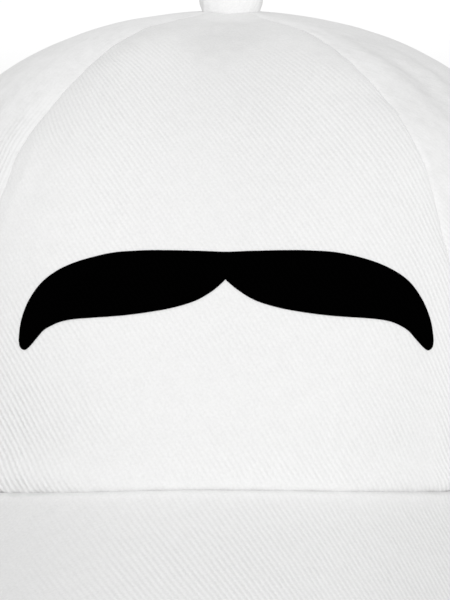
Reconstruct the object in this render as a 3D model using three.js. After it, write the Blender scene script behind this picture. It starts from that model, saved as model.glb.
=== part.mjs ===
// A white cotton-twill baseball cap with five crown panels, a curved peak, a
// covered top button, a strap across the back opening and a black moustache
// printed on the wide front panel.
//
// Millimetres, +Z up. The cap stands on a table as it does by itself, on the
// two side edges of its peak and on the back of its rim. Its front faces -Y.
//
// The crown, peak and strap are first laid out in the level frame of the rim:
// azimuth runs from the front (0) round to the viewer's right (+90), and "up"
// is the share of the way from the rim (0) to the crown's top (1). Then the
// whole cap is tipped back by REST_TILT, so that it rests on the table.
import * as THREE from 'three';

const DEG = Math.PI / 180;

// ---- driving sizes -------------------------------------------------------
const WALL = 1.5;               // cloth of the crown, with its inner facing
const GAP = 0.3;                // between sewn pieces
const RIM_HALF_WIDTH = 86.8;    // rim oval, side to side
const RIM_FRONT = 100;          // rim oval, centre to front
const RIM_BACK = 102;           // rim oval, centre to back
const RIM_SQUARENESS = 2.1;     // 2 is an ellipse
const CROWN_TOP = 115.06;       // crown's top above the level rim
const TOP_SHIFT = -0.5;         // crown's top, forward of the rim's centre
const TIP_RADIUS = 3.2;         // hole where the five panel tips meet

// how the crown's outline bends, seen at the front, the side and the back:
// (r/rim)^plan + (height/top)^rise = 1
const PROFILE = {
  front: { plan: 2.109, rise: 2.9 },
  side: { plan: 1.987, rise: 3.868 },
  back: { plan: 2.124, rise: 2.508 },
};
// the middle of the front leans back further than its seams
const LEAN = { plan: -0.239, rise: -1.05, az: -0.52, reach: 38 };

// azimuth of the seams between the panels, degrees
const SEAM = { frontLeft: -39.5, frontRight: 34.6, backLeft: -108, backRight: 108, back: 180 };

const PEAK_THICK = 3.0;
const PEAK_SLOPE = 22 * DEG;    // downward from the level rim
const PEAK_CURL = 129.3;        // radius that the peak is bent to
const PEAK_SEAM_HEIGHT = 8;     // front of the rim above its sides
const PEAK_CORNER_Y = -48;      // where the peak's edge meets the rim
const PEAK_FRONT_Y = -168;      // foremost point of the peak
const PEAK_SQUARENESS = 2.4;    // of the peak's outer edge, seen from above
const RIM_DROP_AZ = 66;         // behind the peak's corners the rim drops level
const RIM_DROP_SPREAD = 2.5;

const ARCH_HALF_AZ = 21.5;      // half-moon opening at the back
const ARCH_UP = 0.31;
const STRAP = { halfAz: 31, low: 0.022, high: 0.142, thick: 1.8 };

const BUTTON = { radius: 8.0, foot: 7.1, waist: 2.8, height: 6.6, post: 2.6, washer: 7.5, washerThick: 1.2 };

const PRINT_AZ = -0.6;          // middle of the printed figure
const PRINT_THICK = 0.4;
const PRINT_HALF_AZ = 30.73;

const REST_TILT = 6.6 * DEG;
const SETTLE = 0.3;             // cloth this near the table lies flat on it
const SHIFT_Y = 33.765;         // puts the origin under the middle of the cap

// upper and lower edge of one half of the print
const PRINT_UPPER = [
  { az: 0, up: 0.328 }, { az: 4.45, up: 0.3326 }, { az: 8.97, up: 0.3419 }, { az: 13.3, up: 0.3526 },
  { az: 16.76, up: 0.3591 }, { az: 19.64, up: 0.3601 }, { az: 22.76, up: 0.3572 }, { az: 25.4, up: 0.3489 },
  { az: 27.72, up: 0.3337 }, { az: 29.42, up: 0.3078 }, { az: 30.24, up: 0.2855 }, { az: 30.6, up: 0.2671 },
  { az: 30.73, up: 0.2449 },
];
const PRINT_LOWER = [
  { az: 0, up: 0.2881 }, { az: 2.07, up: 0.272 }, { az: 4.42, up: 0.26 }, { az: 7.25, up: 0.2542 },
  { az: 10.33, up: 0.2532 }, { az: 14.44, up: 0.2567 }, { az: 17.48, up: 0.2606 }, { az: 21.66, up: 0.2665 },
  { az: 23.84, up: 0.2671 }, { az: 25.33, up: 0.2637 }, { az: 26.66, up: 0.2566 }, { az: 27.69, up: 0.2451 },
  { az: 28.83, up: 0.2325 }, { az: 29.68, up: 0.2274 }, { az: 30.45, up: 0.2336 }, { az: 30.73, up: 0.2449 },
];

// dents (-) and swells (+) of the crown's cloth: where, how far they reach
// along and across their own direction, which leans from level, and how deep
const FOLDS = [
  { az: 0, up: 0.90, along: 11, across: 16, lean: 0, deep: -1.6 },    // hollow before the button
  { az: -24, up: 0.85, along: 12, across: 9, lean: 20, deep: 0.8 },   // left shoulder
  { az: 22, up: 0.85, along: 12, across: 9, lean: -20, deep: 0.6 },   // right shoulder
  { az: -51, up: 0.70, along: 30, across: 8, lean: 90, deep: 1.3 },   // swell beside the left seam
  { az: -4, up: 0.105, along: 48, across: 9, lean: 0, deep: 1.0 },    // swell over the peak
  { az: -4, up: 0.23, along: 44, across: 13, lean: 0, deep: -0.7 },
  { az: -33, up: 0.11, along: 15, across: 16, lean: 30, deep: -1.2 }, // lower left dent
  { az: -34, up: 0.50, along: 9, across: 4, lean: -25, deep: -0.6 },  // pucker by the left seam
  { az: 31, up: 0.68, along: 11, across: 4, lean: 15, deep: -0.4 },   // pucker by the right seam
  { az: 46, up: 0.63, along: 16, across: 6, lean: -40, deep: -0.5 },  // crease on the right side
  { az: 47, up: 0.70, along: 15, across: 6, lean: -40, deep: 0.4 },
  { az: -70, up: 0.42, along: 26, across: 14, lean: 15, deep: -1.4 }, // soft sides and back
  { az: 76, up: 0.36, along: 24, across: 15, lean: -20, deep: -1.3 },
  { az: -138, up: 0.55, along: 24, across: 13, lean: -15, deep: -1.5 },
  { az: 142, up: 0.5, along: 24, across: 14, lean: 20, deep: -1.4 },
  { az: 180, up: 0.68, along: 22, across: 16, lean: 0, deep: -1.2 },
];
const ARC = 168;                // rim to top along the cloth, for the folds

// ---- the cap's surfaces, in the level frame ------------------------------
const sideMix = (az, part) => {
  const c = Math.cos(az);
  const front = Math.max(0, c) ** 2, back = Math.max(0, -c) ** 2;
  const lean = Math.cos(Math.PI / 2 * Math.min(1, Math.abs(az / DEG - LEAN.az) / LEAN.reach)) ** 2;
  return PROFILE.side[part] * (1 - front - back) + PROFILE.front[part] * front + PROFILE.back[part] * back + LEAN[part] * lean;
};

function rimRadius(az) {
  const s = Math.abs(Math.sin(az)), c = Math.cos(az);
  const deep = c > 0 ? RIM_FRONT : RIM_BACK;
  return ((s / RIM_HALF_WIDTH) ** RIM_SQUARENESS + (Math.abs(c) / deep) ** RIM_SQUARENESS) ** (-1 / RIM_SQUARENESS);
}

const peakHeight = (x, y) =>
  PEAK_SEAM_HEIGHT - Math.tan(PEAK_SLOPE) * (-y - RIM_FRONT) - x * x / (2 * PEAK_CURL);

// the peak's outer edge, turn from -1 at the left corner to 1 at the right
const CORNER_X = RIM_HALF_WIDTH * (1 - (-PEAK_CORNER_Y / RIM_FRONT) ** RIM_SQUARENESS) ** (1 / RIM_SQUARENESS);
const CORNER_AZ = Math.atan2(CORNER_X, -PEAK_CORNER_Y);
function peakEdge(turn) {
  const t = turn * Math.PI / 2, e = 2 / PEAK_SQUARENESS;
  return [
    CORNER_X * Math.sign(t) * Math.abs(Math.sin(t)) ** e,
    PEAK_CORNER_Y + (PEAK_FRONT_Y - PEAK_CORNER_Y) * Math.max(0, Math.cos(t)) ** e,
  ];
}

// underside of the peak below a point of its upper face
function peakUnder(x, y, z) {
  const n = new THREE.Vector3(x / PEAK_CURL, -Math.tan(PEAK_SLOPE), 1).normalize();
  return [x - n.x * PEAK_THICK, y - n.y * PEAK_THICK, z - n.z * PEAK_THICK];
}

// height of the table under the tipped cap: it touches the peak's lowest edge
const tipped = (y, z) => [y * Math.cos(REST_TILT) + z * Math.sin(REST_TILT), z * Math.cos(REST_TILT) - y * Math.sin(REST_TILT)];
let TABLE = Infinity;
for (let i = 0; i <= 200; i++) {
  const [x, y] = peakEdge(-1 + i / 100);
  const u = peakUnder(x, y, peakHeight(x, y) - GAP);
  TABLE = Math.min(TABLE, tipped(u[1], u[2])[1]);
}
const tableHeight = (y) => (TABLE + y * Math.sin(REST_TILT)) / Math.cos(REST_TILT);

function rimHeight(az) {
  const r = rimRadius(az), x = r * Math.sin(az), y = -r * Math.cos(az);
  const atPeak = 1 / (1 + Math.exp((Math.abs(az) / DEG - RIM_DROP_AZ) / RIM_DROP_SPREAD));
  return Math.max(atPeak * peakHeight(x, y), tableHeight(y));
}

function smoothCrown(az, up) {
  const plan = sideMix(az, 'plan'), rise = sideMix(az, 'rise');
  const turn = Math.PI / 2 * Math.min(1, Math.max(0, up)) ** (rise / 2);
  const low = rimHeight(az);
  const r = rimRadius(az) * Math.cos(turn) ** (2 / plan);
  const z = low + (CROWN_TOP - low) * Math.sin(turn) ** (2 / rise);
  return new THREE.Vector3(r * Math.sin(az), -r * Math.cos(az) + TOP_SHIFT * Math.sin(turn) ** 2, z);
}

function foldDepth(az, up, radius) {
  let sum = 0;
  for (const f of FOLDS) {
    const turn = Math.atan2(Math.sin(az - f.az * DEG), Math.cos(az - f.az * DEG));
    const a = turn * Math.max(radius, 12), b = (up - f.up) * ARC;
    const c = Math.cos(f.lean * DEG), s = Math.sin(f.lean * DEG);
    sum += f.deep * Math.exp(-(((a * c + b * s) / f.along) ** 2) - ((b * c - a * s) / f.across) ** 2);
  }
  // the rim keeps its line, and the cloth is held under the button
  return sum * Math.min(1, up / 0.05) * THREE.MathUtils.smoothstep(radius, BUTTON.radius, BUTTON.radius + 9);
}

function crownNormal(az, up) {
  const h = 1e-3, u = Math.min(0.985, Math.max(0.004, up));
  const alongAz = smoothCrown(az + h, u).sub(smoothCrown(az - h, u));
  const alongUp = smoothCrown(az, u + h).sub(smoothCrown(az, u - h));
  return alongAz.cross(alongUp).normalize();
}

// a point of the crown, "out" millimetres outside its outer face
function crown(az, up, out = 0) {
  const p = smoothCrown(az, up);
  const radius = Math.hypot(p.x, p.y - TOP_SHIFT);
  return p.addScaledVector(crownNormal(az, up), out + foldDepth(az, up, radius));
}

// ---- making solids -------------------------------------------------------
// a level-frame point, tipped back and set on the table
function rested(p) {
  const [x, y, z] = Array.isArray(p) ? p : [p.x, p.y, p.z];
  const [yy, zz] = tipped(y, z);
  const high = zz - TABLE;
  return [x, yy + SHIFT_Y, high < SETTLE ? 0 : high];
}

// a closed wall between two grids of points: face(i, j) and its back(i, j)
function wallGeometry(ni, nj, face, back) {
  const points = [], index = [], id = (side, i, j) => side * (ni + 1) * (nj + 1) + i * (nj + 1) + j;
  for (const grid of [face, back])
    for (let i = 0; i <= ni; i++) for (let j = 0; j <= nj; j++) points.push(...rested(grid(i, j)));
  const quad = (a, b, c, d) => index.push(a, b, c, a, c, d);
  for (let i = 0; i < ni; i++) for (let j = 0; j < nj; j++) {
    quad(id(0, i, j), id(0, i + 1, j), id(0, i + 1, j + 1), id(0, i, j + 1));
    quad(id(1, i, j), id(1, i, j + 1), id(1, i + 1, j + 1), id(1, i + 1, j));
  }
  for (let i = 0; i < ni; i++) {
    quad(id(1, i, 0), id(1, i + 1, 0), id(0, i + 1, 0), id(0, i, 0));
    quad(id(0, i, nj), id(0, i + 1, nj), id(1, i + 1, nj), id(1, i, nj));
  }
  for (let j = 0; j < nj; j++) {
    quad(id(0, 0, j), id(0, 0, j + 1), id(1, 0, j + 1), id(1, 0, j));
    quad(id(1, ni, j), id(1, ni, j + 1), id(0, ni, j + 1), id(0, ni, j));
  }
  const geometry = new THREE.BufferGeometry();
  geometry.setAttribute('position', new THREE.Float32BufferAttribute(points, 3));
  geometry.setIndex(index);
  geometry.computeVertexNormals();
  return geometry;
}

// how far up the crown its radius has shrunk to TIP_RADIUS
function tipUp(az) {
  let low = 0.8, high = 1;
  for (let k = 0; k < 40; k++) {
    const mid = (low + high) / 2, p = smoothCrown(az, mid);
    if (Math.hypot(p.x, p.y - TOP_SHIFT) > TIP_RADIUS) low = mid; else high = mid;
  }
  return low;
}

// one crown panel between two seams, from its lower edge to the tip
function panelGeometry(fromAz, toAz, across, upward, lowerEdge = () => 0, spread = (s) => s) {
  const place = (i, j) => {
    const raw = (fromAz + (toAz - fromAz) * spread(i / across)) * DEG;
    const low = lowerEdge(raw);
    const up = low + (tipUp(raw) - low) * j / upward;
    const p = smoothCrown(raw, up), half = GAP / 2 / Math.hypot(p.x, p.y - TOP_SHIFT);
    const az = THREE.MathUtils.clamp(raw, fromAz * DEG + half, toAz * DEG - half);
    return [az, up];
  };
  // the underside keeps to the rim's plane at the lower edge
  const under = (i, j) => {
    const [az, up] = place(i, j), p = crown(az, up, -WALL);
    if (j === 0 && up < 1e-6) p.z = crown(az, up).z;
    return p;
  };
  return wallGeometry(across, upward, (i, j) => crown(...place(i, j)), under);
}

// lower edge of the back panels: half-moon opening about the back seam
const archEdge = (az) => {
  const off = Math.abs(Math.abs(az) / DEG - 180) / ARCH_HALF_AZ;
  return off < 1 ? ARCH_UP * Math.sqrt(1 - off * off) : 0;
};

// columns of a back panel crowd together at the end of the opening
const ARCH_SHARE = ARCH_HALF_AZ / (180 - SEAM.backRight), ARCH_COLUMNS = 0.5;
const archSpread = (s) => (s <= ARCH_COLUMNS
  ? ARCH_SHARE * Math.sin(s / ARCH_COLUMNS * Math.PI / 2)
  : ARCH_SHARE + (1 - ARCH_SHARE) * (s - ARCH_COLUMNS) / (1 - ARCH_COLUMNS));

function peakGeometry(across, out) {
  const top = (i, j) => {
    const turn = -1 + 2 * i / across, az = turn * CORNER_AZ, r = rimRadius(az);
    const rim = [r * Math.sin(az), -r * Math.cos(az)];
    const rimZ = peakHeight(rim[0], rim[1]) - GAP;
    const inner = [(r - WALL) * Math.sin(az), -(r - WALL) * Math.cos(az)];
    if (j === 0) return [inner[0], inner[1], rimZ];
    const edge = peakEdge(turn), t = (j - 1) / (out - 1), lead = Math.abs(turn) === 1 ? 0.6 * (j - 1) / (out - 1) : 0;
    const x = rim[0] + (edge[0] - rim[0]) * t + Math.sign(turn) * lead, y = rim[1] + (edge[1] - rim[1]) * t;
    return [x, y, peakHeight(x, y) - GAP];
  };
  return wallGeometry(across, out, (i, j) => top(i, out - j), (i, j) => peakUnder(...top(i, out - j)));
}

function strapGeometry(across) {
  const at = (i, j, out) => {
    const az = (180 - STRAP.halfAz + 2 * STRAP.halfAz * i / across) * DEG;
    const up = STRAP.low + (STRAP.high - STRAP.low) * j / 2;
    return smoothCrown(az, up).addScaledVector(crownNormal(az, up), out);
  };
  const face = -(WALL + GAP + 0.1);
  return wallGeometry(across, 2, (i, j) => at(i, j, face), (i, j) => at(i, j, face - STRAP.thick));
}

// covered button with its shank and the washer that holds it inside the crown
function buttonGeometry() {
  const { radius, foot, waist, height, post, washer, washerThick } = BUTTON;
  const under = -WALL - 1.1;
  const outline = [[0, under - washerThick], [washer, under - washerThick], [washer, under], [post, under], [post, 0.15], [foot, 0.15], [radius - 0.3, waist / 2]];
  for (let k = 0; k <= 6; k++) {
    const t = k / 6 * Math.PI / 2;
    outline.push([k === 6 ? 0 : radius * Math.cos(t) ** 0.85, waist + (height - waist) * Math.sin(t)]);
  }
  const geometry = new THREE.LatheGeometry(outline.map(([r, h]) => new THREE.Vector2(r, h)), 28);
  geometry.rotateX(Math.PI / 2);
  const spot = geometry.getAttribute('position');
  for (let k = 0; k < spot.count; k++) {
    const p = rested([spot.getX(k), spot.getY(k) + TOP_SHIFT, spot.getZ(k) + CROWN_TOP]);
    spot.setXYZ(k, ...p);
  }
  geometry.computeVertexNormals();
  return geometry;
}

// smooth interpolation in a table of { az, up } rows
function edgeUp(rows, az) {
  let k = 0;
  while (k < rows.length - 2 && rows[k + 1].az < az) k++;
  const a = rows[k], b = rows[k + 1], slope = (m) => {
    const p = rows[Math.max(0, m - 1)], q = rows[Math.min(rows.length - 1, m + 1)];
    return m === 0 ? 0 : (q.up - p.up) / (q.az - p.az);
  };
  const w = b.az - a.az, t = THREE.MathUtils.clamp((az - a.az) / w, 0, 1), t2 = t * t, t3 = t2 * t;
  return (2 * t3 - 3 * t2 + 1) * a.up + (t3 - 2 * t2 + t) * w * slope(k) + (3 * t2 - 2 * t3) * b.up + (t3 - t2) * w * slope(k + 1);
}

// the printed film, from its left tip to its right
function printGeometry(half, rows) {
  const at = (i, j, out) => {
    const turn = -1 + i / half, off = Math.min(0.997, Math.abs(Math.sin(turn * Math.PI / 2))) * PRINT_HALF_AZ;
    const low = edgeUp(PRINT_LOWER, off), high = edgeUp(PRINT_UPPER, off);
    const up = low + Math.max(0.004, high - low) * j / rows;
    return crown((PRINT_AZ + Math.sign(turn) * off) * DEG, up, out);
  };
  return wallGeometry(2 * half, rows, (i, j) => at(i, j, GAP + PRINT_THICK), (i, j) => at(i, j, GAP));
}

// ---- the cap -------------------------------------------------------------
const twill = { color: 0xf2f1ee, roughness: 0.92, metalness: 0 };
const ink = { color: 0x0b0b0c, roughness: 0.75, metalness: 0 };
const cap = new THREE.Group();
function add(name, geometry, look) {
  const mesh = new THREE.Mesh(geometry, new THREE.MeshStandardMaterial(look));
  mesh.name = name;
  cap.add(mesh);
}

add('front_panel', panelGeometry(SEAM.frontLeft, SEAM.frontRight, 24, 16), twill);
add('side_panel_left', panelGeometry(SEAM.backLeft, SEAM.frontLeft, 16, 14), twill);
add('side_panel_right', panelGeometry(SEAM.frontRight, SEAM.backRight, 16, 14), twill);
add('back_panel_right', panelGeometry(SEAM.backRight, SEAM.back, 16, 12, archEdge, (s) => 1 - archSpread(1 - s)), twill);
add('back_panel_left', panelGeometry(-SEAM.back, SEAM.backLeft, 16, 12, archEdge, archSpread), twill);
add('peak', peakGeometry(36, 9), twill);
add('top_button', buttonGeometry(), twill);
add('closure_strap', strapGeometry(16), twill);
add('moustache_print', printGeometry(26, 4), ink);

export default cap;
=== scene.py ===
"""A white cotton-twill baseball cap with a black moustache printed on its front panel.

The crown's panels, the peak, the button, the strap and the print are fine meshes
worked out from the same sizes as the solid model: rim oval, profiles, seams,
peak and rest position. All lengths below are millimetres until they become meshes.
"""

import math

import bpy
import numpy as np
from mathutils import Matrix, Vector


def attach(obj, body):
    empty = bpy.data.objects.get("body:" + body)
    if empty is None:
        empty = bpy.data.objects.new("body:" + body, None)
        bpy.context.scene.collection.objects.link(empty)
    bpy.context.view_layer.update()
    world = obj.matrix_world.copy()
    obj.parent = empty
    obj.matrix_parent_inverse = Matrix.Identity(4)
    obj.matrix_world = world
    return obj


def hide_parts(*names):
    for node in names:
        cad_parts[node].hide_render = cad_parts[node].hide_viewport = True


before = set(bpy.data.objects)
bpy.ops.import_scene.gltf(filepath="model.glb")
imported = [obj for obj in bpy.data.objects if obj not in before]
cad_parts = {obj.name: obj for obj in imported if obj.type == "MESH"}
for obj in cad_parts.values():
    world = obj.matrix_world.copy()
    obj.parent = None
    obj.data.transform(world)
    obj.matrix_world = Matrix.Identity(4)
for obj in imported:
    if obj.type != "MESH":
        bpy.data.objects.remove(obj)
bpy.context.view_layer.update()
MM = 0.001
DEG = math.pi / 180

# ---- sizes, as in the solid model -------------------------------------------
RIM_HALF_WIDTH, RIM_FRONT, RIM_BACK, RIM_SQUARENESS = 86.8, 100.0, 102.0, 2.1
CROWN_TOP, TOP_SHIFT, TIP_RADIUS = 115.06, -0.5, 3.2
PROFILE = {"front": (2.109, 2.9), "side": (1.987, 3.868), "back": (2.124, 2.508)}
SEAM = {"front_left": -39.75, "front_right": 34.95, "back_left": -108.0, "back_right": 108.0}
PEAK_THICK, PEAK_SLOPE, PEAK_CURL, PEAK_SEAM_HEIGHT = 3.0, math.tan(22 * DEG), 129.3, 8.0
PEAK_CORNER_Y, PEAK_FRONT_Y, PEAK_SQUARENESS = -48.0, -168.0, 2.4
RIM_DROP_AZ, RIM_DROP_SPREAD = 66.0, 2.5
ARCH_HALF_AZ, ARCH_UP = 21.5, 0.31
STRAP = {"half_az": 31.0, "low": 0.022, "high": 0.142, "thick": 1.8}
GAP, WALL = 0.3, 1.5
REST_TILT, SETTLE, SHIFT_Y = 6.6 * DEG, 0.3, 33.765
ARC = 168.0

# the middle of the front leans back further than its seams
LEAN = {"change": (-.239, -1.05), "az": -.52, "reach": 38.0}

PRINT_AZ, PRINT_HALF_AZ = -0.6, 30.73
PRINT_UPPER = [(0, .328), (4.45, .3326), (8.97, .3419), (13.3, .3526), (16.76, .3591), (19.64, .3601), (22.76, .3572),
               (25.4, .3489), (27.72, .3337), (29.42, .3078), (30.24, .2855), (30.6, .2671), (30.73, .2449)]
PRINT_LOWER = [(0, .2881), (2.07, .272), (4.42, .26), (7.25, .2542), (10.33, .2532), (14.44, .2567), (17.48, .2606),
               (21.66, .2665), (23.84, .2671), (25.33, .2637), (26.66, .2566), (27.69, .2451), (28.83, .2325),
               (29.68, .2274), (30.45, .2336), (30.73, .2449)]

# how the figure gives with the cloth: azimuth, thousandths that its upper and lower edges move up
PRINT_GIVE = [(-30.2, -.8, .6), (-28.5, -1.4, .2), (-26, .6, -1.1), (-23, .7, .1), (-19, .7, 1.0), (-15, -.6, .7), (-11, 0, 1.4),
              (-6, .1, .6), (-2.5, .4, -1.0), (0, -.3, -.3), (3, -1.0, -.4), (6, -1.7, 0), (10, -1.9, .6), (13, -2.1, .1),
              (16, -1.3, .2), (19, -.6, 0), (22, -.6, -.9), (25.5, -.7, -2.0), (28, -1.6, -.8), (29.4, -2.2, -.2)]

# how the line where the crown meets the peak rises (+) and falls: azimuth, millimetres
MEETING = [(-58, 0), (-48, -.33), (-33, -.34), (-30, -.22), (-27, -.05), (-24, .01), (-15, .07), (-10, 0), (-5, -.09), (0, -.20),
           (9, -.17), (13, -.04), (17, .09), (22, .18), (27, .18), (31, .05), (36, 0)]

# how the two front seams wander on their way up: share of it, degrees
SEAM_WANDER = {
    "front_left": [(.46, 0), (.50, -.3), (.56, -.3), (.59, -.6), (.62, -.2), (.66, .3), (.71, .5), (.74, .4), (.76, -.2),
                   (.78, -1.0), (.82, -1.4), (.85, -1.85), (.88, -1.9), (.94, 0)],
    "front_right": [(.38, 0), (.42, -.3), (.46, -.2), (.50, 0), (.54, .4), (.62, .5), (.66, 1.0), (.70, .3), (.74, 0), (.78, .2),
                    (.82, .7), (.86, 1.35), (.94, 0)],
}

# dents (-) and swells (+) of the cloth: azimuth, share of the way up, reach
# along and across their own direction, its lean from level, depth
FOLDS = [
    (0, .90, 11, 16, 0, -1.6), (-24, .85, 12, 9, 20, .8), (22, .85, 12, 9, -20, .6),
    (-51, .70, 30, 8, 90, 1.3),
    (-4, .105, 48, 9, 0, 1.0), (-4, .23, 44, 13, 0, -.8), (14, .045, 42, 6, 0, -.65),
    (-33, .11, 15, 16, 30, -1.2), (-34, .50, 9, 4, -25, -.6), (31, .68, 11, 4, 15, -.4),
    (54, .74, 22, 6, 76, -1.4), (70, .75, 18, 5.5, 75, -1.0), (-84, .83, 16, 14, 0, .25),
    (-70, .42, 26, 14, 15, -1.4), (76, .36, 24, 15, -20, -1.3), (-138, .55, 24, 13, -15, -1.5),
    (142, .5, 24, 14, 20, -1.4), (180, .68, 22, 16, 0, -1.2),
]
# small creases beside the left front seam and before the button: shares up, azimuths, depth, reach
CREASES = [
    ((.44, .49, .51, .54, .575), (-37.2, -36.9, -36.3, -35.9, -36.5), .22, 1.3),
    ((.46, .50, .54, .60), (-33.6, -33.0, -32.6, -34.0), -.28, 2.6),
    ((.68, .74, .80, .86), (.4, .6, .9, 1.4), .15, 2.6),
]
BUTTON_RADIUS = 8.0


# ---- surfaces, in the level frame of the rim ---------------------------------
def smoothstep(x, a, b):
    t = np.clip((x - a) / (b - a), 0, 1)
    return t * t * (3 - 2 * t)


def side_mix(az, k):
    c = np.cos(az)
    f, b = np.maximum(0, c) ** 2, np.maximum(0, -c) ** 2
    lean = np.cos(np.pi / 2 * np.minimum(1, np.abs(az / DEG - LEAN["az"]) / LEAN["reach"])) ** 2
    return PROFILE["side"][k] * (1 - f - b) + PROFILE["front"][k] * f + PROFILE["back"][k] * b + LEAN["change"][k] * lean


def rim_radius(az):
    s, c = np.abs(np.sin(az)), np.cos(az)
    deep = np.where(c > 0, RIM_FRONT, RIM_BACK)
    return ((s / RIM_HALF_WIDTH) ** RIM_SQUARENESS + (np.abs(c) / deep) ** RIM_SQUARENESS) ** (-1 / RIM_SQUARENESS)


def peak_height(x, y):
    return PEAK_SEAM_HEIGHT - PEAK_SLOPE * (-y - RIM_FRONT) - x * x / (2 * PEAK_CURL)


CORNER_X = RIM_HALF_WIDTH * (1 - (-PEAK_CORNER_Y / RIM_FRONT) ** RIM_SQUARENESS) ** (1 / RIM_SQUARENESS)
CORNER_AZ = math.atan2(CORNER_X, -PEAK_CORNER_Y)


def peak_edge(turn):
    t, e = turn * np.pi / 2, 2 / PEAK_SQUARENESS
    x = CORNER_X * np.sign(t) * np.abs(np.sin(t)) ** e
    y = PEAK_CORNER_Y + (PEAK_FRONT_Y - PEAK_CORNER_Y) * np.maximum(0, np.cos(t)) ** e
    return x, y


def peak_normal(x, y):
    n = np.stack([x / PEAK_CURL, np.full_like(x, -PEAK_SLOPE), np.ones_like(x)], -1)
    return n / np.linalg.norm(n, axis=-1, keepdims=True)


def tipped(y, z):
    return y * math.cos(REST_TILT) + z * math.sin(REST_TILT), z * math.cos(REST_TILT) - y * math.sin(REST_TILT)


def lowest_of_peak():
    x, y = peak_edge(np.linspace(-1, 1, 201))
    under = np.stack([x, y, peak_height(x, y) - GAP], -1) - PEAK_THICK * peak_normal(x, y)
    return float(tipped(under[:, 1], under[:, 2])[1].min())


TABLE = lowest_of_peak()


def rim_height(az):
    r = rim_radius(az)
    x, y = r * np.sin(az), -r * np.cos(az)
    at_peak = 1 / (1 + np.exp(np.clip((np.abs(az) / DEG - RIM_DROP_AZ) / RIM_DROP_SPREAD, -60, 60)))
    return np.maximum(at_peak * peak_height(x, y), (TABLE + y * math.sin(REST_TILT)) / math.cos(REST_TILT))


def smooth_crown(az, up):
    az, up = np.broadcast_arrays(np.asarray(az, float), np.asarray(up, float))
    plan, rise = side_mix(az, 0), side_mix(az, 1)
    turn = np.pi / 2 * np.clip(up, 0, 1) ** (rise / 2)
    low = rim_height(az)
    r = rim_radius(az) * np.maximum(0, np.cos(turn)) ** (2 / plan)
    z = low + (CROWN_TOP - low) * np.sin(turn) ** (2 / rise)
    return np.stack([r * np.sin(az), -r * np.cos(az) + TOP_SHIFT * np.sin(turn) ** 2, z], -1)


def crown_normal(az, up):
    h, u = 1e-3, np.clip(up, .004, .985)
    a = smooth_crown(az + h, u) - smooth_crown(az - h, u)
    b = smooth_crown(az, u + h) - smooth_crown(az, u - h)
    n = np.cross(a, b)
    return n / np.linalg.norm(n, axis=-1, keepdims=True)


def tip_up(az):
    low, high = np.full_like(az, .8), np.ones_like(az)
    for _ in range(40):
        mid = (low + high) / 2
        p = smooth_crown(az, mid)
        far = np.hypot(p[..., 0], p[..., 1] - TOP_SHIFT) > TIP_RADIUS
        low, high = np.where(far, mid, low), np.where(far, high, mid)
    return low


def rested(p):
    """Level-frame millimetres to metres on the table."""
    y, z = tipped(p[..., 1], p[..., 2])
    z = z - TABLE
    z = np.where(z < SETTLE, 0.0, z)
    return np.stack([p[..., 0], y + SHIFT_Y, z], -1) * MM


# ---- the cloth's relief -------------------------------------------------------
def waves(seed, count, shortest, longest):
    """Directions, phases and sizes of a fixed sum of soft waves."""
    rng = np.random.default_rng(seed)
    d = rng.normal(size=(count, 3))
    d /= np.linalg.norm(d, axis=1, keepdims=True)
    length = np.exp(rng.uniform(np.log(shortest), np.log(longest), count))
    return d * (2 * np.pi / length)[:, None], rng.uniform(0, 2 * np.pi, count), (length / longest) ** .8


SLACK = waves(7, 26, 16, 70)
CRINKLE = waves(11, 30, 5, 14)
PUCKER = waves(13, 26, 2.4, 5)


def wave_sum(p, w):
    d, phase, size = w
    total = np.zeros(p.shape[:-1])
    for k in range(len(phase)):
        total += size[k] * np.sin(p @ d[k] + phase[k])
    return total / np.sqrt((size ** 2).sum() / 2)


def fold_depth(az, up, radius):
    total = np.zeros_like(az)
    for f_az, f_up, along, across, lean, deep in FOLDS:
        turn = np.angle(np.exp(1j * (az - f_az * DEG)))
        a, b = turn * np.maximum(radius, 12), (up - f_up) * ARC
        c, s = math.cos(lean * DEG), math.sin(lean * DEG)
        total += deep * np.exp(-((a * c + b * s) / along) ** 2 - ((b * c - a * s) / across) ** 2)
    return total * np.minimum(1, up / .05) * smoothstep(radius, BUTTON_RADIUS, BUTTON_RADIUS + 9)


def seam_under(d, wide=2.6):
    """Cloth that dips to a seam, d millimetres away, and is creased there."""
    return -.50 * np.exp(-d / wide) - .07 * np.exp(-(d / .6) ** 2)


def seam_over(d, wide=3.2):
    """Cloth of the neighbour, which dips less and lies a little over it."""
    return -.42 * np.exp(-d / wide) - .05 * np.exp(-(d / .5) ** 2)


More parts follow.
